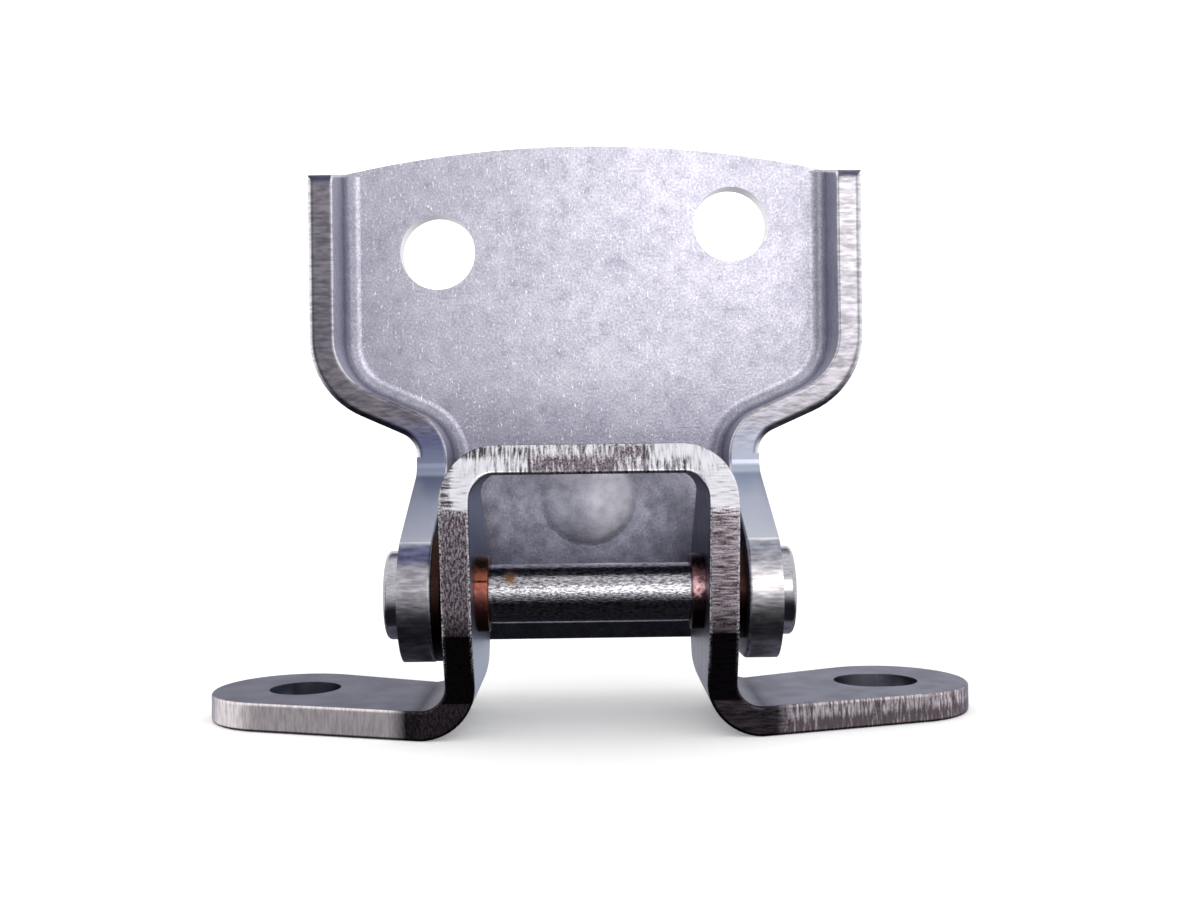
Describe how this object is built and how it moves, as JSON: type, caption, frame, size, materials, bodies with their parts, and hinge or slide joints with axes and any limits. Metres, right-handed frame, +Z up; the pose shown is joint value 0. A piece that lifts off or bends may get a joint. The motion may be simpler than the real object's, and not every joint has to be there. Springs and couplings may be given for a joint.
{
  "type": "car door hinge",
  "caption": "Car door hinge: hat-shaped pillar bracket with swept-back feet and a flanged door plate that swings on a riveted pin in bronze bushes.",
  "frame": {"origin": "middle of the hinge's box, on the plane of the feet's underside", "axes": "+X along the pin, +Y from the pin towards the door plate, +Z up from the feet"},
  "size_m": [0.1184, 0.042, 0.0925],
  "materials": {
    "bracket_steel": "zinc plated, satin, with sheared edges",
    "plate_steel": "zinc plated, matt spangle",
    "pin_steel": "zinc plated, bright drawn bar",
    "bush_bronze": "dull oil-darkened bronze",
    "washer_bronze": "dark oiled bronze"
  },
  "bodies": {
    "bracket": {"body_leaf": "bracket_steel", "left_bush": "bush_bronze", "right_bush": "bush_bronze"},
    "door": {"door_leaf": "plate_steel", "hinge_pin": "pin_steel", "left_washer": "washer_bronze", "right_washer": "washer_bronze"}
  },
  "joints": [
    {"name": "door_swing", "type": "hinge", "parent": "bracket", "child": "door", "pos_m": [0, -0.0095, 0.02], "axis": [1, 0, 0], "range_deg": [-10, 70]}
  ]
}
